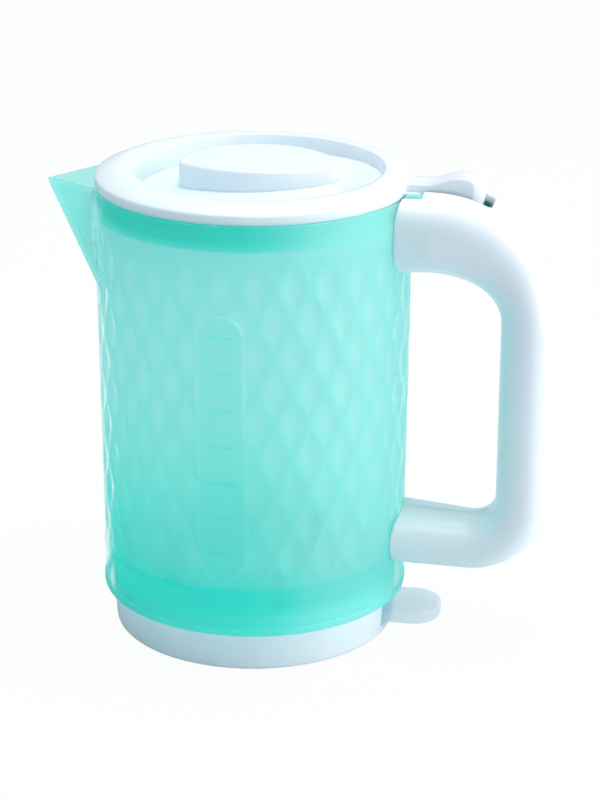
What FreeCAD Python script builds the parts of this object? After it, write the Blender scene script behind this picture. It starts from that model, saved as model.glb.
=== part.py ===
import FreeCAD, Part
import math
import os

from FreeCAD import Vector

# Toy kettle, in millimetres. +Z is up and the jug's axis is the Z axis. The handle points
# along +X, the spout along -X and the level window faces -Y. Z = 0 is the surface it stands on.

# Jug wall, a slight cone that is widest at the rim
rim_height = 147.6
rim_radius = 50.0
skirt_height = 14.4
skirt_radius = 48.8
wall = 2.2
floor_rise = 16.6
floor_height = skirt_height + floor_rise
floor_thickness = 2.6
bead_height = 2.4
bead_out = 0.6

# Lozenge facets between two plain bands
facet_columns = 28
facet_rows = 5
plain_band_top = 8.6
plain_band_low = 14.6
facet_depth = 0.75
band_proud = 0.12

# Spout, a three-sided pyramid that is open on top
spout_out = 17.3
spout_reach = rim_radius + spout_out
spout_lip_inset = 2.0
spout_tip_drop = 2.3
spout_half_angle = 43.0
spout_keel_drop = 37.8
spout_wall = 1.5
spout_keel_round = 1.0

# Level window pad on the front
window_top_drop = 27.8
window_top = rim_height - window_top_drop
window_rise = 19.0
window_low = skirt_height + window_rise
window_width = 14.2
window_proud = 0.1
tick_count = 7
tick_top_gap = 6.7
tick_low_gap = 8.6
tick_pitch = (window_top - window_low - tick_top_gap - tick_low_gap) / (tick_count - 1)
tick_long = 7.7
tick_short = 5.8
tick_height = 0.8
tick_proud = 0.4

# Lid
lid_gap = 0.3
lid_setback = 0.4
lid_radius = rim_radius - lid_setback
flange_edge = 3.1
flange_step = 0.5
lid_crown = 1.8
plug_depth = 7.4
plug_clearance = 0.4
lid_wall = 1.7
dish_inset = 10.0
dish_radius = lid_radius - dish_inset
dish_deep = 8.2
dish_shallow = 3.4
dish_draft = 0.9
dish_shift = 1.4
grip_inset = 14.8
grip_radius = dish_radius - grip_inset
grip_rise = 0.9
grip_round = 0.9
grip_shift = 1.4
scoop_radius = 40.0
scoop_front = 9.6
scoop_shift = -1.0
scoop_end_round = 6.0

# Lid hinge and thumb lever
hinge_reach = 2.8
hinge_x = lid_radius + hinge_reach
hinge_below_rim = 0.7
pin_radius = 0.9
pin_play = 0.05
pin_seat_play = 0.02
knuckle_radius = 1.9
ear_inside = 8.3
ear_outside = 10.7
ear_play = 0.3
ear_rise = 2.2
ear_wall = 1.0
ear_end = hinge_x + pin_radius + ear_wall
ear_round = 3.3
lever_half_width = 5.2
lever_length = 20.6
lever_nose_radius = 5.7
lever_crest_reach = 13.2
lever_rise = 6.4
lever_drop = 1.9
lever_wall = 1.8

# Handle, an oval section swept round a D. Half depths are measured across the path.
# A section power of 2 is an ellipse, more is squarer.
handle_gap = 0.15
arm_top_drop = 11.0
arm_top_height = rim_height - arm_top_drop
arm_low_rise = 18.5
arm_low_height = skirt_height + arm_low_rise
grip_reach = 37.8
grip_x = rim_radius + grip_reach
root_depth = 9.0
bend_top_radius = 30.0
bend_low_radius = 17.0
arm_top_half_depth = 12.9
grip_half_depth = 8.7
arm_low_root_depth = 8.8
arm_low_root_rise = 1.6
root_top_half_width = 17.4
grip_half_width = 12.6
root_low_half_width = 14.8
root_power = 4.0
arm_power = 2.8
grip_power = 2.2
low_root_power = 2.6
section_points = 32
handle_wall = 2.0
slot_half_width = 6.0
slot_start = ear_end + 0.4
slot_end = hinge_x + lever_length + 2.6
slot_corner = 2.0
notch_above_rim = 0.6
notch_end = hinge_x + 1.5

# Bracket inside the upper arm and lug inside the lower arm
bracket_reach = 21.3
bracket_end = rim_radius + bracket_reach
bracket_end_drop = 11.2
bracket_end_top = rim_height - bracket_end_drop
bracket_web = 2.0
bracket_depth = 21.0
bracket_floor = rim_height - bracket_depth
bracket_top_drop = 2.4
bracket_top = rim_height - bracket_top_drop
bracket_fit = 0.2
lug_half_width = 3.0
lug_reach = 9.3
lug_end = bracket_end + lug_reach
low_lug_reach = 13.2
low_lug_end = skirt_radius + low_lug_reach
low_lug_half_height = 6.0

# Screws in the handle
screw_radius = 1.3
screw_play = 0.1
screw_bite = 0.02
screw_length = 16.0
screw_head_radius = 2.6
screw_head_height = 1.8
boss_radius = 3.4
top_screw = (bracket_end + 5.9, bracket_floor + 4.4)
mid_screw = (grip_x, (arm_top_height + arm_low_height) / 2.0 - 4.9)
low_screw = (skirt_radius + 8.6, arm_low_height)
handle_seat = 7.0
head_hole_play = 0.3

# Base cap
skirt_wall = 2.45
base_fit = 0.15
base_top_radius = skirt_radius - skirt_wall - base_fit
base_taper = 0.7
base_foot_radius = base_top_radius - base_taper
spigot_rise = 6.5
base_wall = 2.2
base_plate = 2.2
base_edge_round = 1.5
foot_height = 1.0
foot_radius = 3.2
foot_inset = 5.6
foot_circle = base_foot_radius - foot_inset
foot_count = 4
centre_pad_radius = 7.0
notch_half_width = 11.4
notch_floor = 3.8
base_screw_circle = 28.0
base_screw_count = 3
base_boss_height = 8.0
base_boss_radius = 4.0
base_screw_length = 12.0

# Switch paddle
paddle_reach = 13.2
paddle_tip = skirt_radius + paddle_reach
paddle_half_width = 10.4
paddle_corner = 8.8
paddle_low = 5.0
paddle_thick = 4.2
paddle_tail = 7.0
pivot_inset = 12.3
pivot_x = skirt_radius - pivot_inset
paddle_back = pivot_x - paddle_tail
pivot_radius = 1.6
pivot_reach = 13.2
pivot_play = 0.08
cheek_gap = 0.3
cheek_thick = 2.2
cheek_half_length = 3.6
paddle_round = 1.2

X_AXIS = Vector(1, 0, 0)
Y_AXIS = Vector(0, 1, 0)
Z_AXIS = Vector(0, 0, 1)

BIG = 200.0


def box(x0, x1, y0, y1, z0, z1):
    """Box between two corners."""
    return Part.makeBox(x1 - x0, y1 - y0, z1 - z0, Vector(x0, y0, z0))


def cylinder(radius, z0, z1, x=0.0, y=0.0):
    """Upright cylinder from z0 to z1."""
    return Part.makeCylinder(radius, z1 - z0, Vector(x, y, z0))


def cross_cylinder(radius, x, z, y0, y1):
    """Cylinder along Y through (x, z)."""
    return Part.makeCylinder(radius, y1 - y0, Vector(x, y0, z), Y_AXIS)


def fuse(first, *others):
    """Union with the seams between coplanar faces removed."""
    return first.multiFuse(list(others)).removeSplitter()


def one_solid(shape):
    """The single solid that a boolean result holds."""
    solids = sorted(shape.Solids, key=lambda s: s.Volume)
    return solids[-1]


def smooth(t):
    """Blend from 0 to 1 with level ends."""
    t = min(1.0, max(0.0, t))
    return t * t * (3.0 - 2.0 * t)


def mix(a, b, t):
    return a + (b - a) * t


# Jug body

def wall_radius(z):
    """Outer radius of the jug on its facet ridges at height z."""
    share = (z - skirt_height) / (rim_height - skirt_height)
    return mix(skirt_radius, rim_radius, share)


def wall_cone(offset, z0, z1):
    """Solid cone that follows the jug wall with a radial offset."""
    r0 = wall_radius(z0) + offset
    r1 = wall_radius(z1) + offset
    return Part.makeCone(r0, r1, z1 - z0, Vector(0, 0, z0))


facet_top = rim_height - plain_band_top
facet_low = skirt_height + plain_band_low
cell_height = (facet_top - facet_low) / facet_rows
cell_angle = 2.0 * math.pi / facet_columns


def on_wall(column, z, sunk=0.0):
    """Point on the wall, counted in columns from the front."""
    angle = column * cell_angle
    radius = wall_radius(z) - sunk
    return Vector(radius * math.sin(angle), -radius * math.cos(angle), z)


def triangle(a, b, c):
    return Part.Face(Part.makePolygon([a, b, c, a]))


def dimple(corners, centre):
    """Facets from each side of a cell to its sunk centre."""
    count = len(corners)
    return [triangle(corners[i], corners[(i + 1) % count], centre) for i in range(count)]


def chord_sunk(width):
    """How far the middle of a chord across the given columns lies inside the wall."""
    return rim_radius * (1.0 - math.cos(width * cell_angle / 2.0))


def faceted_barrel():
    """Closed barrel of sunk lozenges, cut to half cells at both ends."""
    faces = []
    half = cell_height / 2.0
    sunk = facet_depth + chord_sunk(1.0)
    for column in range(facet_columns):
        for row in range(2 * facet_rows - 1):
            shift = 0.0 if row % 2 == 0 else 0.5
            middle = column + shift
            z = facet_low + half * (row + 1)
            corners = [
                on_wall(middle, z - half),
                on_wall(middle + 0.5, z),
                on_wall(middle, z + half),
                on_wall(middle - 0.5, z),
            ]
            faces += dimple(corners, on_wall(middle, z, sunk))
        for end, inward in ((facet_low, half), (facet_top, -half)):
            corners = [
                on_wall(column, end),
                on_wall(column + 1.0, end),
                on_wall(column + 0.5, end + inward),
            ]
            centre = on_wall(column + 0.5, end + inward * 0.36, sunk * 0.8)
            faces += dimple(corners, centre)
    for end in (facet_low, facet_top):
        ring = [on_wall(column, end) for column in range(facet_columns)]
        faces.append(Part.Face(Part.makePolygon(ring + ring[:1])))
    shell = Part.Shell(faces)
    shell.sewShape()
    solid = Part.Solid(shell)
    if solid.Volume < 0:
        solid.reverse()
    return solid


def skirt_band():
    """Plain band above the base, with a rounded bead along its lower edge."""
    plain = wall_cone(band_proud, skirt_height, facet_low)
    bead = wall_cone(bead_out, skirt_height, skirt_height + bead_height)
    bead = bead.makeFillet(bead_out * 0.9, [e for e in bead.Edges if not e.isSeam(bead.Faces[0])][:2])
    return fuse(plain, bead)


def spout_pyramid():
    """Outside of the spout as a solid pyramid that runs into the wall."""
    tip = Vector(-spout_reach, 0, rim_height - spout_tip_drop)
    inner_x = -(rim_radius - 6.0)
    run = spout_reach + inner_x
    half = run * math.tan(math.radians(spout_half_angle))
    rise = spout_tip_drop * run / (spout_out + spout_lip_inset)
    keel = Vector(inner_x, 0, tip.z - spout_keel_drop * run / spout_out)
    left = Vector(inner_x, -half, tip.z + rise)
    right = Vector(inner_x, half, tip.z + rise)
    faces = [
        triangle(tip, left, right),
        triangle(tip, keel, left),
        triangle(tip, right, keel),
        triangle(left, keel, right),
    ]
    shell = Part.Shell(faces)
    shell.sewShape()
    solid = Part.Solid(shell)
    if solid.Volume < 0:
        solid.reverse()
    return solid, tip, keel, left


def on_line(edge, a, b):
    """True if both ends of the edge are a and b."""
    ends = [v.Point for v in edge.Vertexes]
    if len(ends) != 2:
        return False
    same = ends[0].distanceToPoint(a) < 1e-4 and ends[1].distanceToPoint(b) < 1e-4
    swapped = ends[0].distanceToPoint(b) < 1e-4 and ends[1].distanceToPoint(a) < 1e-4
    return same or swapped


def spout_solids():
    """Outside of the spout and the channel that is cut into it."""
    outside, tip, keel, left = spout_pyramid()
    top_line = (Vector(keel.x, 0, left.z) - tip).normalize()
    keel_line = (keel - tip).normalize()
    side = (left - tip).cross(keel - tip).normalize()
    inward = spout_wall / abs(side.dot(top_line))
    channel = outside.copy()
    channel.translate(top_line * inward - keel_line * 4.0)
    keel_edges = [e for e in outside.Edges if on_line(e, tip, keel)]
    outside = outside.makeFillet(spout_keel_round, keel_edges)
    return outside, channel


def window_pad(proud, half_width, z0, z1, round_ends):
    """Patch of a smooth wall cone over the facets, as a thin block."""
    cone = wall_cone(proud, z0 - 10.0, z1 + 10.0)
    block = box(-half_width, half_width, -BIG, -(skirt_radius - wall * 0.6), z0, z1)
    if round_ends:
        depth = BIG - (skirt_radius - wall * 0.6)
        middle = box(-half_width, half_width, -BIG, -BIG + depth, z0 + half_width, z1 - half_width)
        low = Part.makeCylinder(half_width, depth, Vector(0, -BIG, z0 + half_width), Y_AXIS)
        high = Part.makeCylinder(half_width, depth, Vector(0, -BIG, z1 - half_width), Y_AXIS)
        block = fuse(middle, low, high)
    return cone.common(block)


def tick_marks():
    marks = []
    for i in range(tick_count):
        z = window_top - tick_top_gap - i * tick_pitch
        half = (tick_long if i % 2 == 0 else tick_short) / 2.0
        marks.append(window_pad(tick_proud, half, z - tick_height / 2.0, z + tick_height / 2.0, False))
    return marks


hinge_z = rim_height - hinge_below_rim


def handle_bracket(cavity):
    """Channel inside the upper arm with two hinge ears at its root and a lug at its end."""
    root = rim_radius - wall - 4.0
    channel = box(root, bracket_end + bracket_web, -ear_outside, ear_outside, bracket_floor, bracket_top)
    inside = box(
        root, bracket_end, -ear_inside, ear_inside, bracket_floor + bracket_web, bracket_top + BIG)
    lever_way = box(bracket_end - 1.0, BIG, -ear_inside, ear_inside, bracket_end_top, BIG)
    lug = box(bracket_end, lug_end, -lug_half_width, lug_half_width, bracket_floor, bracket_end_top)
    bracket = fuse(channel.cut(inside).cut(lever_way), lug).common(cavity)
    ears = []
    for side in (-1, 1):
        y0, y1 = sorted((side * ear_inside, side * ear_outside))
        ears.append(box(root, ear_end, y0, y1, bracket_floor + 6.0, rim_height))
        head = box(root, ear_end, y0, y1, rim_height - 1.0, hinge_z + ear_rise)
        ears.append(head.common(cross_cylinder(ear_round, hinge_x, hinge_z, y0, y1)))
    clear = cylinder(lid_radius + 3.0 * ear_play, rim_height, rim_height + 20.0)
    bracket = fuse(bracket, *ears).cut(clear)
    bracket = bracket.cut(cross_cylinder(pin_radius + pin_seat_play, hinge_x, hinge_z, -BIG, BIG))
    hole = cross_cylinder(screw_radius + screw_play, top_screw[0], top_screw[1], -BIG, BIG)
    return bracket.cut(hole)


def low_lug(cavity):
    """Lug inside the lower arm."""
    z = arm_low_height
    root = skirt_radius - wall - 1.0
    lug = box(root, low_lug_end, -lug_half_width, lug_half_width,
              z - low_lug_half_height, z + low_lug_half_height)
    hole = cross_cylinder(screw_radius + screw_play, low_screw[0], low_screw[1], -BIG, BIG)
    return lug.common(cavity).cut(hole)


def ring_points(circle, count, start):
    """Points evenly spaced on a circle."""
    return [
        (circle * math.cos(start + 2.0 * math.pi * i / count),
         circle * math.sin(start + 2.0 * math.pi * i / count))
        for i in range(count)
    ]


base_screw_places = ring_points(base_screw_circle, base_screw_count, math.pi)
base_boss_top = foot_height + base_boss_height


def make_jug(cavity):
    """Jug as one moulding."""
    floor_low = floor_height - floor_thickness
    outside, channel = spout_solids()
    top_band = wall_cone(band_proud, facet_top, rim_height)
    pad = window_pad(window_proud, window_width / 2.0, window_low, window_top, True)
    jug = faceted_barrel().multiFuse([top_band, skirt_band(), outside, pad] + tick_marks())
    jug = jug.cut(wall_cone(-wall, floor_height, rim_height + 10.0))
    jug = jug.cut(channel)
    jug = jug.cut(cylinder(base_top_radius + base_fit, -1.0, floor_low))
    above_rim = cylinder(rim_radius + 5.0, rim_height, rim_height + 20.0)
    jug = jug.cut(above_rim)
    inner = wall_cone(-wall * 0.5, facet_low - 5.0, rim_height + 20.0)
    for grip_part in (handle_bracket(cavity), low_lug(cavity)):
        jug = jug.fuse(grip_part.cut(inner))
    for x, y in base_screw_places:
        post = cylinder(base_boss_radius, base_boss_top, floor_low + 0.5, x, y)
        pilot_top = base_boss_top + base_screw_length
        pilot = cylinder(screw_radius + screw_bite, base_boss_top - 1.0, pilot_top, x, y)
        jug = jug.fuse(post).cut(pilot)
    return one_solid(jug)


# Handle

bend_top_centre = (grip_x - bend_top_radius, arm_top_height - bend_top_radius)
bend_low_centre = (grip_x - bend_low_radius, arm_low_height + bend_low_radius)


def bend_section(angle):
    """Half depth and half width of the handle at an angle round its upper bend."""
    depth = mix(arm_top_half_depth, grip_half_depth, smooth((angle - 15.0) / 70.0))
    width = mix(root_top_half_width, grip_half_width, smooth(0.15 + angle / 80.0))
    return depth, width


def oval(x, z, heading, depth, width, power):
    """Oval across the path, as a closed wire. A power of 2 is an ellipse, more is squarer."""
    turn = math.radians(heading)
    across = Vector(-math.sin(turn), 0, math.cos(turn))
    centre = Vector(x, 0, z)
    points = []
    for i in range(section_points):
        angle = 2.0 * math.pi * i / section_points
        c = math.cos(angle)
        s = math.sin(angle)
        reach = (abs(c / width) ** power + abs(s / depth) ** power) ** (-1.0 / power)
        points.append(centre + Y_AXIS * (reach * c) + across * (reach * s))
    curve = Part.BSplineCurve()
    curve.interpolate(Points=points, PeriodicFlag=True)
    return Part.Wire([curve.toShape()])


def handle_sweep(offset):
    """Handle as one solid round its D-shaped path, with its surface moved inwards by the offset."""
    inside = rim_radius - root_depth - offset
    grip_size = (grip_half_depth - offset, grip_half_width - offset, grip_power)
    top_x, top_z = bend_top_centre
    low_x, low_z = bend_low_centre
    bend = []
    for step in range(7):
        angle = 15.0 * step
        turn = math.radians(angle)
        depth, width = bend_section(angle)
        x = top_x + bend_top_radius * math.sin(turn)
        z = top_z + bend_top_radius * math.cos(turn)
        power = mix(arm_power, grip_power, smooth(angle / 75.0))
        bend.append(oval(x, z, -angle, depth - offset, width - offset, power))
    upper_root = oval(inside, arm_top_height, 0.0,
                      arm_top_half_depth - offset, root_top_half_width - offset, root_power)
    grip_top = oval(grip_x, top_z, -90.0, *grip_size)
    grip_end = oval(grip_x, low_z, -90.0, *grip_size)
    low_arm = oval(low_x, arm_low_height, -180.0, *grip_size)
    lower_root = oval(inside, arm_low_height + arm_low_root_rise, -180.0,
                      arm_low_root_depth - offset, root_low_half_width - offset, low_root_power)
    pieces = [
        Part.makeLoft([upper_root, bend[0]], True, True),
        Part.makeLoft(bend, True, False),
        Part.Face(grip_top).extrude(Vector(0, 0, low_z - top_z)),
        Part.Face(grip_end).revolve(Vector(low_x, 0, low_z), Y_AXIS, 90.0),
        Part.makeLoft([low_arm, lower_root], True, True),
    ]
    return pieces[0].multiFuse(pieces[1:])


def screw_bosses(outer):
    """Posts for the three screws, trimmed to the handle and parted for the lugs."""
    posts = []
    for x, z in (top_screw, mid_screw, low_screw):
        posts.append(cross_cylinder(boss_radius, x, z, -BIG, BIG))
    posts = posts[0].multiFuse(posts[1:]).common(outer)
    lug_room = lug_half_width + 0.1
    parted = box(0.0, lug_end + 1.0, -lug_room, lug_room, 0.0, BIG)
    return posts.cut(parted)


def make_handle():
    """Both half shells and the room inside them for the jug's bracket and lug."""
    jug_side = wall_cone(handle_gap + band_proud, skirt_height - 5.0, rim_height + 10.0)
    shell = handle_sweep(0.0).cut(jug_side).cut(handle_sweep(handle_wall))
    shell = shell.fuse(screw_bosses(handle_sweep(handle_wall * 0.5).cut(jug_side)))
    slot = box(slot_start, slot_end, -slot_half_width, slot_half_width, arm_top_height, BIG)
    corners = [e for e in slot.Edges if e.BoundBox.ZLength > 1.0 and abs(e.CenterOfMass.x - slot_end) < 1e-6]
    shell = shell.cut(slot.makeFillet(slot_corner, corners))
    shell = shell.cut(box(0.0, notch_end, -BIG, BIG, rim_height + notch_above_rim, BIG))
    ear_room = ear_outside + bracket_fit
    shell = shell.cut(box(0.0, slot_start, -ear_room, ear_room, arm_top_height, BIG))
    knuckle_end = hinge_x + knuckle_radius + ear_play
    shell = shell.cut(box(0.0, knuckle_end, -ear_inside, ear_inside, arm_top_height, BIG))
    near = shell.common(box(0.0, BIG, -BIG, 0.0, -BIG, BIG))
    far = shell.common(box(0.0, BIG, 0.0, BIG, -BIG, BIG))
    for x, z in (top_screw, mid_screw, low_screw):
        bite_end = handle_seat - screw_length - 1.0
        near = near.cut(cross_cylinder(screw_radius + screw_bite, x, z, bite_end, 0.0))
        far = far.cut(cross_cylinder(screw_radius + screw_play, x, z, 0.0, BIG))
        far = far.cut(cross_cylinder(screw_head_radius + head_hole_play, x, z, handle_seat, BIG))
    room = handle_sweep(handle_wall + bracket_fit)
    return one_solid(near), one_solid(far), room


def make_screws(places, along_y):
    """Equal pan-head screws, as separate solids of one node."""
    screws = []
    for place in places:
        if along_y:
            x, z = place
            shank = cross_cylinder(screw_radius, x, z, handle_seat - screw_length, handle_seat)
            head = cross_cylinder(screw_head_radius, x, z, handle_seat, handle_seat + screw_head_height)
            rim = [e for e in head.Edges if abs(e.CenterOfMass.y - handle_seat - screw_head_height) < 1e-6]
        else:
            x, y = place
            seat = foot_height + base_plate
            shank = cylinder(screw_radius, seat, seat + base_screw_length, x, y)
            head = cylinder(screw_head_radius, seat - screw_head_height, seat, x, y)
            rim = [e for e in head.Edges if abs(e.CenterOfMass.z - seat + screw_head_height) < 1e-6]
        head = head.makeFillet(screw_head_height * 0.5, rim)
        screws.append(fuse(shank, head))
    return Part.Compound(screws)


# Lid

flange_low = rim_height + lid_gap
flange_top = flange_low + flange_edge + lid_crown


def dish_tilt_cut(drop):
    """Everything above the sloping dish floor, lowered by drop."""
    left = -dish_radius - 20.0
    right = dish_radius + 20.0
    slope = (dish_deep - dish_shallow) / (2.0 * dish_radius)
    z_left = flange_top - dish_deep - drop - slope * 20.0
    z_right = flange_top - dish_shallow - drop + slope * 20.0
    outline = Part.makePolygon([
        Vector(left, -80, z_left),
        Vector(right, -80, z_right),
        Vector(right, -80, BIG),
        Vector(left, -80, BIG),
        Vector(left, -80, z_left),
    ])
    return Part.Face(outline).extrude(Vector(0, 160, 0))


def grip_island(inset, top):
    """Raised grip: a disc whose front is cut back by the finger scoop."""
    z0 = flange_top - dish_deep - 12.0
    disc = cylinder(grip_radius - inset, z0, top, grip_shift)
    front = cylinder(scoop_radius - inset, z0, top, scoop_shift, scoop_radius - scoop_front)
    island = disc.common(front)
    corner = [e for e in island.Edges if e.BoundBox.DiagonalLength > top - z0 - 1e-3
              and e.BoundBox.XLength < 1e-3 and e.CenterOfMass.x > grip_radius * 0.5]
    island = island.makeFillet(scoop_end_round - inset, corner)
    if inset == 0.0:
        crown = [e for e in island.Edges if abs(e.CenterOfMass.z - top) < 1e-6]
        island = island.makeFillet(grip_round, crown)
    return island


def lid_disc():
    """Flange with its step and a gently crowned top, and the solid plug below."""
    low = flange_low
    step = low + flange_edge
    plug_low = flange_low - plug_depth
    plug = wall_radius(rim_height) - wall - plug_clearance
    outline = [
        Vector(0, 0, plug_low),
        Vector(plug, 0, plug_low),
        Vector(plug, 0, low),
        Vector(lid_radius, 0, low),
        Vector(lid_radius, 0, step - 0.6),
        Vector(lid_radius - 0.3, 0, step),
        Vector(lid_radius - flange_step, 0, step),
    ]
    crown_mid = Vector(lid_radius - flange_step - 3.0, 0, step + lid_crown * 0.72)
    crown_end = Vector(dish_radius + 0.6, 0, flange_top)
    wire = [Part.makeLine(a, b) for a, b in zip(outline, outline[1:])]
    wire.append(Part.Arc(outline[-1], crown_mid, crown_end).toShape())
    centre = Vector(0, 0, flange_top)
    wire.append(Part.makeLine(crown_end, centre))
    wire.append(Part.makeLine(centre, outline[0]))
    return Part.Face(Part.Wire(wire)).revolve(Vector(0, 0, 0), Z_AXIS, 360)


def lever_profile(inset):
    """Side outline of the tongue and thumb lever, as a face in the plane Y = 0."""
    top = flange_low + flange_edge
    crest_x = hinge_x + lever_crest_reach
    crest_z = hinge_z + lever_rise - inset
    end_x = hinge_x + lever_length - inset
    low_z = hinge_z - lever_drop
    start = Vector(lid_radius - 5.0, 0, top - inset)
    foot = Vector(hinge_x + 2.0, 0, top - inset)
    crest = Vector(crest_x, 0, crest_z)
    nose = Vector(end_x, 0, crest_z - 4.4)
    heel = Vector(end_x - 0.6, 0, low_z)
    rise = Part.BSplineCurve()
    rise.interpolate([foot, crest], InitialTangent=X_AXIS * 8.0, FinalTangent=X_AXIS * 8.0)
    fall = Part.Arc(crest, Vector(mix(crest_x, end_x, 0.70), 0, crest_z - 1.4), nose)
    under = Vector(hinge_x + 0.5, 0, low_z)
    back = Vector(hinge_x + 0.5, 0, flange_low + 0.2)
    first = Vector(start.x, 0, flange_low + 0.2)
    wire = Part.Wire([
        Part.makeLine(start, foot),
        rise.toShape(),
        fall.toShape(),
        Part.makeLine(nose, heel),
        Part.makeLine(heel, under),
        Part.makeLine(under, back),
        Part.makeLine(back, first),
        Part.makeLine(first, start),
    ])
    return Part.Face(wire)


def rounded_end(centre, radius, half):
    """Everything up to a round end in plan."""
    return box(0.0, centre, -half, half, 0.0, BIG).fuse(cylinder(radius, 0.0, BIG, centre))


def thumb_lever():
    """Tongue and lever, cored from below."""
    half = lever_half_width
    lever = lever_profile(0.0).extrude(Vector(0, 2.0 * half, 0))
    lever.translate(Vector(0, -half, 0))
    core_half = half - lever_wall
    core = lever_profile(lever_wall).extrude(Vector(0, 2.0 * core_half, 0))
    core.translate(Vector(0, -core_half, 0))
    pocket_start = hinge_x + knuckle_radius + lever_wall
    core = core.common(box(pocket_start, BIG, -half, half, 0.0, BIG))
    nose_centre = hinge_x + lever_length - lever_nose_radius
    lever = lever.common(rounded_end(nose_centre, lever_nose_radius, half))
    core = core.common(rounded_end(nose_centre, lever_nose_radius - lever_wall, core_half))
    return lever.cut(core)


def make_lid():
    """Lid as one moulding of even wall."""
    dish = Part.makeCone(
        dish_radius - dish_draft, dish_radius, dish_deep + 2.0,
        Vector(dish_shift, 0, flange_top - dish_deep - 2.0))
    dish = dish.fuse(cylinder(dish_radius, flange_top, flange_top + 10.0, dish_shift))
    dish = dish.common(dish_tilt_cut(0.0))
    island = grip_island(0.0, flange_top + grip_rise)
    dish = dish.cut(island)
    lid = fuse(lid_disc(), island).cut(dish)
    plug_low = flange_low - plug_depth
    bore = wall_radius(rim_height) - wall - plug_clearance - lid_wall
    hollow = cylinder(bore, plug_low - 1.0, flange_top - lid_wall - lid_crown)
    skin = cylinder(dish_radius + lid_wall, plug_low - 2.0, BIG, dish_shift)
    skin = skin.common(dish_tilt_cut(lid_wall))
    under_grip = grip_island(lid_wall, flange_top + grip_rise - lid_wall)
    skin = skin.cut(under_grip)
    under_grip = under_grip.cut(cylinder(BIG, 0.0, plug_low - 1.0))
    lid = lid.cut(hollow.cut(skin).fuse(under_grip))
    reach = ear_inside - ear_play
    knuckle = cross_cylinder(knuckle_radius, hinge_x, hinge_z, -reach, reach)
    arms = box(lid_radius - 4.5, hinge_x, -reach, reach, flange_low, hinge_z + knuckle_radius)
    lid = fuse(lid, knuckle, arms, thumb_lever())
    bore = cross_cylinder(pin_radius + pin_play, hinge_x, hinge_z, -BIG, BIG)
    return one_solid(lid.cut(bore))


def make_pin():
    reach = ear_outside - 0.2
    return cross_cylinder(pin_radius, hinge_x, hinge_z, -reach, reach)


# Base cap and switch

pivot_z = paddle_low + paddle_thick / 2.0


def make_base():
    """Cup that fits into the skirt, with feet, screw posts, a switch notch and its cradle."""
    plate_low = foot_height
    plate_top = foot_height + base_plate
    spigot_top = skirt_height + spigot_rise
    lower = Part.makeCone(
        base_foot_radius, base_top_radius, skirt_height - plate_low, Vector(0, 0, plate_low))
    edge = [e for e in lower.Edges if abs(e.CenterOfMass.z - plate_low) < 1e-6]
    lower = lower.makeFillet(base_edge_round, edge)
    cup = fuse(lower, cylinder(base_top_radius, skirt_height, spigot_top))
    hollow = cylinder(base_foot_radius - base_wall, plate_top, spigot_top + 1.0)
    cup = cup.cut(hollow)
    extras = []
    for x, y in ring_points(foot_circle, foot_count, math.pi / foot_count):
        foot = cylinder(foot_radius, 0.0, plate_low + 0.5, x, y)
        edge = [e for e in foot.Edges if abs(e.CenterOfMass.z) < 1e-6]
        extras.append(foot.makeFillet(0.4, edge))
    extras.append(cylinder(centre_pad_radius, 0.0, plate_low + 0.5))
    for x, y in base_screw_places:
        extras.append(cylinder(base_boss_radius, plate_low + 0.5, base_boss_top, x, y))
    for side in (-1, 1):
        inner_y = paddle_half_width + cheek_gap
        y0, y1 = sorted((side * inner_y, side * (inner_y + cheek_thick)))
        cheek = box(pivot_x - cheek_half_length, pivot_x + cheek_half_length, y0, y1,
                    plate_low + 0.5, pivot_z)
        top = cross_cylinder(cheek_half_length, pivot_x, pivot_z, y0, y1)
        extras.append(fuse(cheek, top))
    cup = cup.multiFuse(extras)
    cup = cup.cut(cross_cylinder(
        pivot_radius + pivot_play, pivot_x, pivot_z, -(pivot_reach + 0.5), pivot_reach + 0.5))
    notch_start = base_foot_radius - base_wall - 2.0
    cup = cup.cut(box(notch_start, BIG, -notch_half_width, notch_half_width, notch_floor, spigot_top + 1.0))
    for x, y in base_screw_places:
        cup = cup.cut(cylinder(screw_head_radius + head_hole_play, -1.0, plate_top, x, y))
        cup = cup.cut(cylinder(screw_radius + screw_play, plate_top, base_boss_top, x, y))
    return one_solid(cup)


def make_switch():
    """Rocker paddle with its axle."""
    half = paddle_half_width
    plate = box(paddle_back, paddle_tip, -half, half, paddle_low, paddle_low + paddle_thick)
    corners = [
        e for e in plate.Edges
        if abs(e.CenterOfMass.x - paddle_tip) < 1e-6 and abs(e.CenterOfMass.z - pivot_z) < 1e-6
    ]
    plate = plate.makeFillet(paddle_corner, corners)
    rims = []
    for edge in plate.Edges:
        z = edge.CenterOfMass.z
        if abs(z - paddle_low - paddle_thick) < 1e-6 or abs(z - paddle_low) < 1e-6:
            rims.append(edge)
    plate = plate.makeFillet(paddle_round, rims)
    axle = cross_cylinder(pivot_radius, pivot_x, pivot_z, -pivot_reach, pivot_reach)
    return one_solid(fuse(plate, axle))


def main():
    os.makedirs("parts", exist_ok=True)
    handle_near, handle_far, handle_room = make_handle()
    nodes = {
        "jug_body": make_jug(handle_room),
        "lid": make_lid(),
        "lid_hinge_pin": make_pin(),
        "handle_near": handle_near,
        "handle_far": handle_far,
        "handle_screws": make_screws((top_screw, mid_screw, low_screw), True),
        "base_cap": make_base(),
        "base_screws": make_screws(base_screw_places, False),
        "power_switch": make_switch(),
    }
    for name, shape in nodes.items():
        bounds = shape.BoundBox
        print(name, "solids", len(shape.Solids), "volume", round(shape.Volume),
              "valid", shape.isValid(), "faces", len(shape.Faces),
              "x", round(bounds.XMin, 1), round(bounds.XMax, 1),
              "z", round(bounds.ZMin, 1), round(bounds.ZMax, 1))
        shape.exportStep("parts/" + name + ".step")


main()
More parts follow.
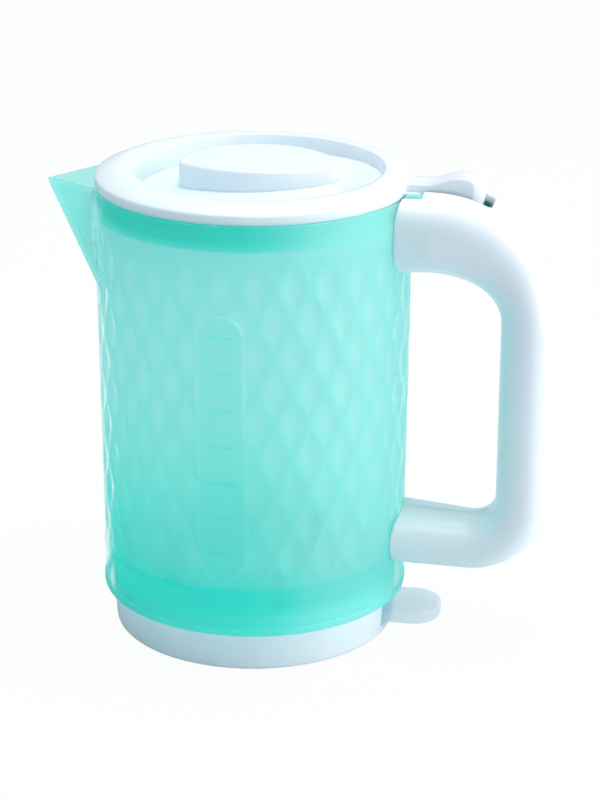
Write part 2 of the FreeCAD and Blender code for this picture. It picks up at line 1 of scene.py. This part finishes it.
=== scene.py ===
"""Toy kettle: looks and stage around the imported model. Metres, +Z up, handle along +X."""
import math

import bpy
from mathutils import Matrix, Vector


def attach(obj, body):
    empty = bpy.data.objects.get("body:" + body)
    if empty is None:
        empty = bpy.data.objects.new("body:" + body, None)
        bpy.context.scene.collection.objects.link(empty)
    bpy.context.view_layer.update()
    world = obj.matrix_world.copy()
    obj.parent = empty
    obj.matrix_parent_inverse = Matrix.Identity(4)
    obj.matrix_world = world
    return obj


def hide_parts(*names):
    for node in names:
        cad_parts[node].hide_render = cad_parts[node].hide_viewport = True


bl_info = {
    "name": "Toy Kettle Looks",
    "version": (1, 0, 0),
    "blender": (4, 5, 0),
    "location": "View3D > Sidebar > Toy Kettle",
    "description": "Dresses the toy kettle: mint jug, white mouldings, screws and studio",
    "category": "Object",
}

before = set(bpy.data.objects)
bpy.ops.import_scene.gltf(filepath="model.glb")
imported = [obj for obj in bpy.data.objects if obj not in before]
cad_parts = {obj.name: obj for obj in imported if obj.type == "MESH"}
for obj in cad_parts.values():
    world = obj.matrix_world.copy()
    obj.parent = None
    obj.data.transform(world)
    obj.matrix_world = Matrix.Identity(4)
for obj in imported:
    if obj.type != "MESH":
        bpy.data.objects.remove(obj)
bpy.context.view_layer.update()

MM = 0.001

# Heights, radii, X and Y where the look of the plastics changes
PLUG_FOOT = 139.8 * MM
SPOUT_ROOT = -45.0 * MM
SPOUT_FLANK = -47.0 * MM
FLOOR_TOP = 30.6 * MM
LEDGE = 21.0 * MM
WALL_OUTSIDE = 50.9 * MM
WALL_INSIDE = 47.6 * MM
WINDOW_SIDE = -42.0 * MM
DISH_MIDDLE = 1.4 * MM
DISH_RADIUS = 39.5 * MM
DISH_BRIM = 151.6 * MM
DISH_FLOOR = 148.6 * MM

# How deep the mint gets and how much it lets through, from 0 to 1; the ticks' depth is partly
# painted shade and the pad edge's paleness is a painted highlight
RIB_DEPTH = 0.07
PAD_DEPTH = 0.08
TICK_THICK_AND_SHADE = 0.26
FLANK_DEPTH = 0.52
MIDDLE_PALE = 0.6
PAD_EDGE_HIGHLIGHT = 0.5
GLOW_SHARE = 0.62
INSIDE_CLEAR = 0.62
FLANK_CLEAR = 0.22

# Curve of the lozenges; END_FADE is a share of half a row
CORNER_ANGLE = math.radians(48.0)
BOWL_POWER = 1.15
END_FADE = 0.8
FIELD_FADE = 4.0 * MM

# Skin of the mouldings, and the see-through share of the switch
SKIN_DEPTH = 0.01 * MM
SWITCH_CLEAR = 0.52

# Camera, room and floor
SENSOR_WIDTH = 36.0
ROOM_COLOUR = (0.60, 0.845, 1.0)
ROOM_LEAN = 0.22
LAMP_AIM = (0.0, 0.0, 80.0 * MM)
FLOOR_SIZE = 6.0
FLOOR_DROP = 0.2 * MM
FLOOR_WHITE = 0.955


class JugSizes(bpy.types.PropertyGroup):
    """Sizes of the jug's lozenge pattern and wall."""

    rim_height: bpy.props.FloatProperty(
        name="Rim height", description="Height of the jug's rim", default=147.6 * MM, unit="LENGTH")
    rim_radius: bpy.props.FloatProperty(
        name="Rim radius", description="Outer radius of the wall at the rim", default=50.0 * MM,
        unit="LENGTH")
    skirt_height: bpy.props.FloatProperty(
        name="Skirt height", description="Height of the wall's lower edge", default=14.4 * MM,
        unit="LENGTH")
    skirt_radius: bpy.props.FloatProperty(
        name="Skirt radius", description="Outer radius of the wall at its lower edge",
        default=48.8 * MM, unit="LENGTH")
    field_top: bpy.props.FloatProperty(
        name="Pattern top", description="Height where the lozenges end", default=139.0 * MM,
        unit="LENGTH")
    field_low: bpy.props.FloatProperty(
        name="Pattern foot", description="Height where the lozenges begin", default=29.0 * MM,
        unit="LENGTH")
    columns: bpy.props.IntProperty(
        name="Columns", description="Lozenges round the jug", default=28, min=3)
    rows: bpy.props.IntProperty(
        name="Rows", description="Full lozenges from foot to top", default=5, min=1)
    pad_top: bpy.props.FloatProperty(
        name="Pad top", description="Top of the level window's pad", default=119.8 * MM,
        unit="LENGTH")
    pad_low: bpy.props.FloatProperty(
        name="Pad foot", description="Foot of the level window's pad", default=33.4 * MM,
        unit="LENGTH")
    pad_width: bpy.props.FloatProperty(
        name="Pad width", description="Width of the level window's pad", default=14.2 * MM,
        unit="LENGTH")
    dimple: bpy.props.FloatProperty(
        name="Dimple depth", description="How far the middle of a lozenge is sunk",
        default=0.8 * MM, unit="LENGTH")
    cuts: bpy.props.IntProperty(
        name="Cuts", description="Cuts along each side of a flat facet before it is curved",
        default=4, min=1)


class Finishes(bpy.types.PropertyGroup):
    """Colours of the plastics."""

    mint: bpy.props.FloatVectorProperty(
        name="Mint", description="Colour of the jug's frosted plastic", subtype="COLOR", size=3,
        default=(0.63, 1.0, 0.96))
    # Deep mint colours thick plastic and also carries painted shade where the lid's plug and the
    # floor stand behind the wall and low on the wall.
    thick_and_shaded_mint: bpy.props.FloatVectorProperty(
        name="Deep mint", description="Colour where the wall is backed or thick", subtype="COLOR",
        size=3, default=(0.05, 0.95, 0.82))
    # Thin mint colours thin lozenge middles, and is also a painted highlight on the pad's edge and
    # painted light on the spout's inside.
    thin_and_lit_mint: bpy.props.FloatVectorProperty(
        name="Thin mint", description="Colour of the spout, thin middles and the pad's edge",
        subtype="COLOR", size=3, default=(0.78, 1.0, 0.985))
    white: bpy.props.FloatVectorProperty(
        name="White", description="Colour of the lid, handle, base and switch", subtype="COLOR",
        size=3, default=(0.88, 0.922, 0.98))
    # The dish colour is painted shade on the lid's sunk dish.
    dish_shade: bpy.props.FloatVectorProperty(
        name="Dish", description="Colour of the lid's thin sunk dish, over the mint jug",
        subtype="COLOR", size=3, default=(0.67, 0.86, 0.92))
    steel: bpy.props.FloatVectorProperty(
        name="Steel", description="Colour of the screws and the pin", subtype="COLOR", size=3,
        default=(0.55, 0.56, 0.58))


class StudioSettings(bpy.types.PropertyGroup):
    """Camera and lamps."""

    azimuth: bpy.props.FloatProperty(
        name="Azimuth", description="Camera's turn round the jug from the front", subtype="ANGLE",
        default=math.radians(12.14))
    elevation: bpy.props.FloatProperty(
        name="Elevation", description="Camera's height angle", subtype="ANGLE",
        default=math.radians(20.43))
    distance: bpy.props.FloatProperty(
        name="Distance", description="From the camera to the middle of the jug",
        default=811.2 * MM, unit="LENGTH")
    aim_height: bpy.props.FloatProperty(
        name="Aim height", description="Height of the point the distance is measured to",
        default=75.0 * MM, unit="LENGTH")
    yaw: bpy.props.FloatProperty(
        name="Yaw", description="Turn of the camera away from the jug's axis", subtype="ANGLE",
        default=math.radians(-1.04))
    roll: bpy.props.FloatProperty(
        name="Roll", description="Tilt of the camera about its view", subtype="ANGLE",
        default=math.radians(-0.21))
    lens: bpy.props.FloatProperty(
        name="Lens", description="Focal length", default=113.27, subtype="DISTANCE_CAMERA")
    key_power: bpy.props.FloatProperty(
        name="Key lamp", description="Power of the large lamp on the right", default=10.0,
        unit="POWER")
    top_power: bpy.props.FloatProperty(
        name="Top lamp", description="Power of the lamp overhead", default=15.5, unit="POWER")
    room: bpy.props.FloatProperty(
        name="Room light", description="Strength of the light from all round", default=0.425)


def settings():
    scene = bpy.context.scene
    return scene.kettle_jug, scene.kettle_finishes, scene.kettle_studio


# Shader maths: a socket that takes part in Python expressions

class Signal:
    """Wraps a number socket, so that an expression on it adds Math nodes."""

    def __init__(self, paint, socket):
        self.paint = paint
        self.socket = socket

    def _math(self, operation, *values):
        made = self.paint.add("ShaderNodeMath", {"operation": operation}, dict(enumerate(values)))
        return Signal(self.paint, made.outputs[0])

    def __add__(self, other):
        return self._math("ADD", self, other)

    def __radd__(self, other):
        return self._math("ADD", other, self)

    def __sub__(self, other):
        return self._math("SUBTRACT", self, other)

    def __rsub__(self, other):
        return self._math("SUBTRACT", other, self)

    def __mul__(self, other):
        return self._math("MULTIPLY", self, other)

    def __rmul__(self, other):
        return self._math("MULTIPLY", other, self)

    def squared_with(self, other):
        """Length of the pair of numbers."""
        return self._math("SQRT", self * self + other * other)

    def at_least(self, other):
        return self._math("MAXIMUM", self, other)

    def step(self, low, high):
        """Smooth ramp from 0 at low to 1 at high, which may be the smaller number."""
        made = self.paint.add(
            "ShaderNodeMapRange", {"interpolation_type": "SMOOTHSTEP"},
            {"Value": self, "From Min": low, "From Max": high})
        return Signal(self.paint, made.outputs["Result"])

    def above(self, level, soft):
        """1 above the level and 0 below it, blurred by soft to each side."""
        return self.step(level - soft, level + soft)

    def below(self, level, soft):
        """1 below the level and 0 above it, blurred by soft to each side."""
        return self.step(level + soft, level - soft)


class Paint:
    """Builds the nodes of one material or world."""

    def __init__(self, holder):
        self.holder = holder
        holder.use_nodes = True
        self.tree = holder.node_tree
        self.tree.nodes.clear()

    def add(self, kind, choices=None, inputs=None):
        """A node of a kind, with its settings first and then the values or links of its sockets."""
        node = self.tree.nodes.new(kind)
        for key, value in (choices or {}).items():
            setattr(node, key, value)
        for key, value in (inputs or {}).items():
            socket = node.inputs[key]
            if isinstance(value, Signal):
                self.tree.links.new(value.socket, socket)
            elif isinstance(value, bpy.types.NodeSocket):
                self.tree.links.new(value, socket)
            elif socket.type == "RGBA":
                socket.default_value = (*value, 1.0)
            else:
                socket.default_value = value
        return node

    def place(self):
        """Place of the surface in the kettle's frame."""
        return self.add("ShaderNodeTexCoord").outputs["Object"]

    def split(self, vector):
        """X, Y and Z of a vector."""
        parts = self.add("ShaderNodeSeparateXYZ", None, {"Vector": vector})
        return [Signal(self, parts.outputs[axis]) for axis in "XYZ"]

    def cloud(self, where, scale, detail):
        """Uneven value between 0 and 1."""
        noise = self.add(
            "ShaderNodeTexNoise", None, {"Vector": where, "Scale": scale, "Detail": detail})
        return noise.outputs["Fac"]

    def mix(self, factor, first, second):
        """Mix of two colours."""
        made = self.add(
            "ShaderNodeMix", {"data_type": "RGBA"}, {"Factor": factor, 6: first, 7: second})
        return made.outputs[2]

    def shader(self, kind, inputs):
        return self.add("ShaderNode" + kind, None, inputs).outputs[0]

    def translucent(self, colour):
        return self.shader("BsdfTranslucent", {"Color": colour})

    def blend(self, factor, first, second):
        """Mix of two shaders."""
        return self.shader("MixShader", {0: factor, 1: first, 2: second})

    def finish(self, surface, output="ShaderNodeOutputMaterial"):
        self.add(output, None, {"Surface": surface})
        return self.holder


def new_paint(name):
    return Paint(bpy.data.materials.new(name))


def shaded(colour, share):
    return tuple(share * part for part in colour)


def grain(paint, where, scale, edge=0.0):
    """Fine uneven skin of a moulding, as a normal, with its corners eased."""
    inputs = {"Distance": SKIN_DEPTH, "Height": paint.cloud(where, scale, 2.0)}
    if edge:
        eased = paint.add("ShaderNodeBevel", {"samples": 6}, {"Radius": edge})
        inputs["Normal"] = eased.outputs[0]
    return paint.add("ShaderNodeBump", None, inputs).outputs["Normal"]


def wall_radius(jug, z):
    """Outer radius of the jug's wall at a height, which may be a number or a Signal."""
    slope = (jug.rim_radius - jug.skirt_radius) / (jug.rim_height - jug.skirt_height)
    return jug.skirt_radius + (z - jug.skirt_height) * slope


def lozenge_field(jug, z):
    """1 over the lozenges, fainter towards the foot, and 0 on the plain bands."""
    starts = z.step(jug.field_low, jug.field_low + FIELD_FADE)
    ends = z.step(jug.field_top, jug.field_top - FIELD_FADE)
    return starts * ends * (z.step(36.0 * MM, 85.0 * MM) * 0.6 + 0.4)


def window_pad(jug, x, z):
    """The level window's long pad, and the line round its edge."""
    pad_radius = jug.pad_width / 2.0
    past_top = (z - (jug.pad_top - pad_radius)).at_least(0.0)
    past_low = ((jug.pad_low + pad_radius) - z).at_least(0.0)
    from_middle = x.squared_with(past_top + past_low)
    pad = from_middle.below(pad_radius - 0.55 * MM, 0.35 * MM)
    in_edge = from_middle.above(pad_radius - 0.5 * MM, 0.4 * MM)
    return pad, in_edge * from_middle.below(pad_radius + 0.7 * MM, 0.5 * MM)


def painted_backing_shade(x, z):
    """Painted shade on the wall: bands where the lid's plug and the jug's floor stand behind it,
    and darkening low on the wall and at the lower left, all weaker on the lit right.
    """
    shade_side = x.below(20.0 * MM, 16.0 * MM)
    # Painted shade where the lid's plug stands behind the wall, weaker on the lit right.
    plug_shade = z.above(PLUG_FOOT, 0.6 * MM) * x.above(SPOUT_ROOT, 2.0 * MM)
    # Painted shade over the jug's floor and just above it, weaker on the lit right and lighter
    # below the ledge.
    floor = z.below(FLOOR_TOP, 1.0 * MM) * 0.55 + z.step(40.0 * MM, 29.0 * MM) * 0.45
    shade_bands = plug_shade * (shade_side * 0.7 + 0.1) + floor * (shade_side * 0.6 + 0.4)
    shade_bands = shade_bands * (1.0 - z.below(LEDGE, 0.6 * MM) * 0.25)
    # Painted shade darkening the wall towards its foot, more on the shaded left, and a painted
    # shadow patch at the lower left.
    low_wall_shade = z.step(100.0 * MM, 36.0 * MM) * 0.46 * (shade_side * 0.8 + 0.2)
    low_left_shade = z.step(78.0 * MM, 34.0 * MM) * x.step(-12.0 * MM, -44.0 * MM) * 0.22
    return shade_bands + (1.0 - shade_bands) * (low_wall_shade + low_left_shade)


def mint_plastic(jug, finishes, name, clearness, painted_light=0.0):
    """Frosted translucent mint, deeper where the wall is thick, with painted shade where the lid's
    plug and the floor stand behind it and low on the wall, a painted highlight on the pad's edge
    and painted light on the spout's inside.
    """
    paint = new_paint(name)
    where = paint.place()
    x, y, z = paint.split(where)
    radius = x.squared_with(y)
    sunk = wall_radius(jug, z) - radius
    outside = radius.below(WALL_OUTSIDE, 0.3 * MM)
    inside = radius.below(WALL_INSIDE, 0.3 * MM)
    flank = radius.above(52.0 * MM, 1.0 * MM) * x.below(SPOUT_FLANK, 3.0 * MM)
    front = y.below(WINDOW_SIDE, 2.0 * MM)
    field = lozenge_field(jug, z)
    pad, pad_edge_highlight = window_pad(jug, x, z)
    middle = sunk.step(0.2 * MM, 0.76 * MM) * sunk.below(1.2 * MM, 0.1 * MM) * field
    rib = sunk.below(0.19 * MM, 0.11 * MM) * sunk.above(-0.05 * MM, 0.03 * MM) * field
    # The raised ticks are deepened, partly as thicker plastic and partly as painted shade that
    # draws them as dark lines.
    tick_thick_and_shade = sunk.below(-0.25 * MM, 0.05 * MM) * front * field
    # The line round the pad's edge is a painted highlight; the paleness of the lozenge middles is
    # their thinner wall.
    thin_and_lit_pale = (middle * MIDDLE_PALE + pad_edge_highlight * front * PAD_EDGE_HIGHLIGHT).at_least(painted_light)
    # The deep share adds thick plastic (spout flank, ribs, pad, ticks) to the painted shade behind
    # and low on the wall.
    thick_and_shaded = painted_backing_shade(x, z) * outside + flank * FLANK_DEPTH + rib * RIB_DEPTH
    thick_and_shaded = thick_and_shaded + pad * front * PAD_DEPTH + tick_thick_and_shade * TICK_THICK_AND_SHADE

    tint = paint.mix(paint.cloud(where, 22.0, 1.0), finishes.mint, shaded(finishes.mint, 0.96))
    lit = paint.mix(thin_and_lit_pale, tint, finishes.thin_and_lit_mint)
    gloss = paint.shader("BsdfPrincipled", {
        "Base Color": paint.mix(thick_and_shaded, lit, finishes.thick_and_shaded_mint), "Roughness": 0.36, "IOR": 1.45,
        "Normal": grain(paint, where, 1400.0)})
    plain_glow = paint.translucent(shaded(finishes.mint, 0.98))
    pale_glow = paint.blend(thin_and_lit_pale, plain_glow, paint.translucent(finishes.thin_and_lit_mint))
    glow = paint.blend(thick_and_shaded, pale_glow, paint.translucent(finishes.thick_and_shaded_mint))
    body = paint.blend(GLOW_SHARE, gloss, glow)
    clear = paint.shader("BsdfTransparent", {"Color": (0.90, 0.985, 0.98)})
    facing = Signal(
        paint, paint.add("ShaderNodeLayerWeight", None, {"Blend": 0.5}).outputs["Facing"])
    edge_on = facing.step(0.64, 0.86) * outside * (0.74 - x.step(0.0, 30.0 * MM) * 0.3)
    see_through = inside * INSIDE_CLEAR + clearness + edge_on + flank * FLANK_CLEAR
    return paint.finish(paint.blend(see_through, body, clear))


def faint_white(paint, where, finishes, scale):
    """The white of the mouldings, a trace greyer in places."""
    white = finishes.white
    return paint.mix(paint.cloud(where, scale, 2.0), white, shaded(white, 0.985))


def white_gloss(paint, where, colour, edge, more):
    """Glossy white moulding with a faint uneven skin."""
    return paint.shader("BsdfPrincipled", {
        "Base Color": colour, "Roughness": 0.32, "IOR": 1.46,
        "Normal": grain(paint, where, 900.0, edge), **more})


def white_plastic(finishes, name, edge, dish_shade=False):
    """White moulding that light soaks into; on the lid, the sunk dish gets painted shade, a bluish
    mint tint that is stronger on the left and on its upward faces.
    """
    paint = new_paint(name)
    where = paint.place()
    colour = faint_white(paint, where, finishes, 30.0)
    if dish_shade:
        x, y, z = paint.split(where)
        up = paint.split(paint.add("ShaderNodeTexCoord").outputs["Normal"])[2]
        inside = (x - DISH_MIDDLE).squared_with(y).below(DISH_RADIUS, 0.9 * MM)
        shade_side = x.below(0.0, 26.0 * MM) * 0.5 + 0.15
        # Painted shade: a bluish mint tint on the sunk dish, stronger on the left and on its upward
        # faces.
        sunk = inside * z.step(DISH_BRIM, DISH_FLOOR) * shade_side
        colour = paint.mix(sunk * (up.step(0.3, 0.8) * 0.75 + 0.25), colour, finishes.dish_shade)
    return paint.finish(white_gloss(paint, where, colour, edge, {
        "Subsurface Weight": 0.5, "Subsurface Radius": (0.8, 1.0, 1.0),
        "Subsurface Scale": 3.0 * MM, "Coat Weight": 0.15, "Coat Roughness": 0.12}))


def clear_white(finishes):
    """Thin white plastic that lets the bright floor shine through."""
    paint = new_paint("translucent white plastic of the switch")
    where = paint.place()
    gloss = white_gloss(paint, where, faint_white(paint, where, finishes, 40.0), 0.4 * MM, {})
    body = paint.blend(0.5, gloss, paint.translucent(finishes.white))
    clear = paint.shader("BsdfTransparent", {"Color": (0.97, 0.99, 1.0)})
    return paint.finish(paint.blend(SWITCH_CLEAR, body, clear))


def plain_steel(finishes):
    """Turned metal with fine uneven marks in its gloss."""
    paint = new_paint("turned steel")
    rough = Signal(paint, paint.cloud(paint.place(), 2500.0, 3.0)) * 0.2 + 0.22
    return paint.finish(paint.shader("BsdfPrincipled", {
        "Base Color": finishes.steel, "Metallic": 1.0, "Roughness": rough}))


def dress(piece, material):
    """Gives a piece or a node one material."""
    piece.data.materials.clear()
    piece.data.materials.append(material)


def select_only(piece):
    bpy.ops.object.select_all(action="DESELECT")
    piece.select_set(True)
    bpy.context.view_layer.objects.active = piece


def copy_of(node, name):
    """A merged copy of a node's mesh, as a new selected piece."""
    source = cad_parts[node]
    piece = bpy.data.objects.new(name, source.data.copy())
    bpy.context.scene.collection.objects.link(piece)
    select_only(piece)
    bpy.ops.object.mode_set(mode="EDIT")
    bpy.ops.mesh.select_all(action="SELECT")
    bpy.ops.mesh.remove_doubles(threshold=0.002 * MM)
    bpy.ops.mesh.customdata_custom_splitnormals_clear()
    bpy.ops.mesh.select_all(action="DESELECT")
    bpy.ops.object.mode_set(mode="OBJECT")
    return piece


def smooth_ends(share):
    """Blend from 0 to 1 with level ends."""
    share = min(1.0, max(0.0, share))
    return share * share * (3.0 - 2.0 * share)


class KETTLE_OT_jug(bpy.types.Operator):
    """Makes the mint jug with smooth lozenges"""

    bl_idname = "kettle.jug"
    bl_label = "Jug"

    def execute(self, context):
        jug, finishes, _ = settings()
        wall = copy_of("jug_body", "jug_wall")
        self.select_facets(wall, jug)
        bpy.ops.object.mode_set(mode="EDIT")
        bpy.ops.mesh.subdivide(number_cuts=jug.cuts, ngon=False, quadcorner="INNERVERT")
        bpy.ops.mesh.quads_convert_to_tris()
        bpy.ops.object.mode_set(mode="OBJECT")
        self.curve_facets(wall, jug)
        select_only(wall)
        bpy.ops.object.shade_smooth_by_angle(angle=CORNER_ANGLE)
        dress(wall, mint_plastic(jug, finishes, "frosted mint plastic", clearness=0.18))
        # The spout's inner faces get a paler, clearer mint whose paleness is painted light.
        wall.data.materials.append(mint_plastic(
            jug, finishes, "mint with painted light for the spout's inside", clearness=0.66, painted_light=1.0))
        self.paint_spout_inside(wall, jug)
        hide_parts("jug_body")
        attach(wall, "jug")
        return {"FINISHED"}

    def paint_spout_inside(self, wall, jug):
        """Gives the second material, a paler mint with painted light, to the faces that look into
        the spout.
        """
        for face in wall.data.polygons:
            inner = face.normal.z > 0.1 or face.normal.y * face.center.y < 0.0
            if face.center.x < -jug.rim_radius and inner:
                face.material_index = 1

    def select_facets(self, wall, jug):
        """Selects the flat facets of the lozenge field, by their place on the wall."""
        mesh = wall.data
        outside = [False] * len(mesh.vertices)
        for vertex in mesh.vertices:
            place = vertex.co
            depth = wall_radius(jug, place.z) - math.hypot(place.x, place.y)
            in_field = jug.field_low - 0.01 * MM < place.z < jug.field_top + 0.01 * MM
            outside[vertex.index] = in_field and -0.03 * MM < depth < 1.3 * MM
        for face in mesh.polygons:
            out = face.normal.x * face.center.x + face.normal.y * face.center.y
            level = out > 0.9 * math.hypot(face.center.x, face.center.y)
            face.select = level and all(outside[index] for index in face.vertices)

    def curve_facets(self, wall, jug):
        """Moves the selected faces' points onto smooth dimples with soft ridges between them."""
        mesh = wall.data
        moved = {index for face in mesh.polygons if face.select for index in face.vertices}
        half_row = (jug.field_top - jug.field_low) / jug.rows / 2.0
        for index in moved:
            place = mesh.vertices[index].co
            around = math.atan2(place.x, -place.y) / (2.0 * math.pi) * jug.columns
            up = (place.z - jug.field_low) / half_row
            across = (2.0 * around + up) % 2.0 - 1.0
            along = (2.0 * around - up) % 2.0 - 1.0
            bowl = max(0.0, (1.0 - across * across) * (1.0 - along * along)) ** BOWL_POWER
            ends = smooth_ends(up / END_FADE) * smooth_ends((2.0 * jug.rows - up) / END_FADE)
            radius = wall_radius(jug, place.z) - jug.dimple * bowl * ends
            stretch = radius / math.hypot(place.x, place.y)
            place.x *= stretch
            place.y *= stretch
        mesh.update()


class KETTLE_OT_white_parts(bpy.types.Operator):
    """Finishes the lid, handle, base and switch"""

    bl_idname = "kettle.white_parts"
    bl_label = "White parts"

    def execute(self, context):
        _, finishes, _ = settings()
        soft = white_plastic(finishes, "soft white plastic of the lid", edge=1.2 * MM, dish_shade=True)
        dress(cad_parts["lid"], soft)
        glossy = white_plastic(finishes, "glossy white plastic", edge=0.4 * MM)
        for node in ("handle_near", "handle_far", "base_cap"):
            dress(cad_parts[node], glossy)
        dress(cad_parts["power_switch"], clear_white(finishes))
        return {"FINISHED"}


class KETTLE_OT_steel_parts(bpy.types.Operator):
    """Finishes the screws and the hinge pin"""

    bl_idname = "kettle.steel_parts"
    bl_label = "Steel parts"

    def execute(self, context):
        _, finishes, _ = settings()
        steel = plain_steel(finishes)
        for node in ("lid_hinge_pin", "handle_screws", "base_screws"):
            dress(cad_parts[node], steel)
        return {"FINISHED"}


class KETTLE_OT_studio(bpy.types.Operator):
    """Sets the floor, lamps, room light and camera"""

    bl_idname = "kettle.studio"
    bl_label = "Studio"

    def execute(self, context):
        _, _, studio = settings()
        scene = context.scene
        scene.view_settings.view_transform = "Standard"
        self.camera(scene, studio)
        self.room(scene, studio)
        self.floor()
        self.lamp(
            "key_lamp", place=(1.15, 0.04, 0.40), size=0.9, power=studio.key_power,
            colour=(1.0, 0.88, 0.86))
        self.lamp(
            "top_lamp", place=(0.08, 0.04, 1.35), size=1.1, power=studio.top_power,
            colour=(1.0, 0.98, 0.98))
        return {"FINISHED"}

    def camera(self, scene, studio):
        data = bpy.data.cameras.new("camera")
        data.lens = studio.lens
        data.sensor_width = SENSOR_WIDTH
        data.sensor_fit = "AUTO"
        data.clip_start = 0.01
        camera = bpy.data.objects.new("camera", data)
        scene.collection.objects.link(camera)
        turn, rise = studio.azimuth, studio.elevation
        out = Vector((math.sin(turn), -math.cos(turn), 0.0)) * math.cos(rise)
        out.z = math.sin(rise)
        camera.location = Vector((0.0, 0.0, studio.aim_height)) + out * studio.distance
        look = (-out).to_track_quat("-Z", "Y").to_matrix()
        look = look @ self.turned(studio.yaw, "Y") @ self.turned(studio.roll, "Z")
        camera.rotation_euler = look.to_euler()
        scene.camera = camera

    def turned(self, angle, axis):
        return Matrix.Rotation(angle, 3, axis)

    def room(self, scene, studio):
        """Pale light, stronger from the right; the camera and clear parts see white."""
        scene.world = bpy.data.worlds.new("studio")
        paint = Paint(scene.world)
        path = paint.add("ShaderNodeLightPath")
        seen = Signal(paint, path.outputs["Is Camera Ray"])
        seen = seen.at_least(path.outputs["Is Transmission Ray"])
        across = paint.split(paint.add("ShaderNodeTexCoord").outputs["Generated"])[0]
        strength = across * (studio.room * ROOM_LEAN) + studio.room
        soft = paint.shader("Background", {"Color": ROOM_COLOUR, "Strength": strength})
        white = paint.shader("Background", {"Color": (1.0, 1.0, 1.0), "Strength": 1.0})
        paint.finish(paint.blend(seen, soft, white), "ShaderNodeOutputWorld")

    def floor(self):
        bpy.ops.object.select_all(action="DESELECT")
        bpy.ops.mesh.primitive_plane_add(size=FLOOR_SIZE, location=(0.0, 0.0, -FLOOR_DROP))
        floor = bpy.context.object
        floor.name = "floor"
        bpy.ops.object.transform_apply(location=True, rotation=True, scale=True)
        paint = new_paint("white floor")
        path = paint.add("ShaderNodeLightPath")
        seen = Signal(paint, path.outputs["Is Camera Ray"]) * FLOOR_WHITE
        shade = paint.shader("BsdfDiffuse", {"Color": (0.7, 0.78, 0.8)})
        white = paint.shader("Emission", {"Color": (1.0, 1.0, 1.0), "Strength": 1.0})
        dress(floor, paint.finish(paint.blend(seen, shade, white)))

    def lamp(self, name, place, size, power, colour):
        data = bpy.data.lights.new(name, "AREA")
        data.shape = "SQUARE"
        data.size = size
        data.energy = power
        data.color = colour
        lamp = bpy.data.objects.new(name, data)
        bpy.context.scene.collection.objects.link(lamp)
        lamp.location = place
        aim = Vector(LAMP_AIM) - Vector(place)
        lamp.rotation_euler = aim.to_track_quat("-Z", "Y").to_euler()


class KETTLE_PT_panel(bpy.types.Panel):
    """Lists the kettle's sizes, finishes and steps"""

    bl_idname = "KETTLE_PT_panel"
    bl_label = "Toy Kettle"
    bl_space_type = "VIEW_3D"
    bl_region_type = "UI"
    bl_category = "Toy Kettle"

    def draw(self, context):
        for group in settings():
            column = self.layout.column()
            for key in group.__annotations__:
                column.prop(group, key)
        for step in STEPS:
            self.layout.operator(step.bl_idname)


GROUPS = {"kettle_jug": JugSizes, "kettle_finishes": Finishes, "kettle_studio": StudioSettings}
STEPS = (KETTLE_OT_studio, KETTLE_OT_jug, KETTLE_OT_white_parts, KETTLE_OT_steel_parts)
CLASSES = (*GROUPS.values(), *STEPS, KETTLE_PT_panel)


def register():
    for cls in CLASSES:
        bpy.utils.register_class(cls)
    for name, group in GROUPS.items():
        setattr(bpy.types.Scene, name, bpy.props.PointerProperty(type=group))


def unregister():
    for name in GROUPS:
        delattr(bpy.types.Scene, name)
    for cls in reversed(CLASSES):
        bpy.utils.unregister_class(cls)


def main():
    register()
    bpy.ops.kettle.studio()
    bpy.ops.kettle.jug()
    bpy.ops.kettle.white_parts()
    bpy.ops.kettle.steel_parts()


if __name__ == "__main__":
    main()
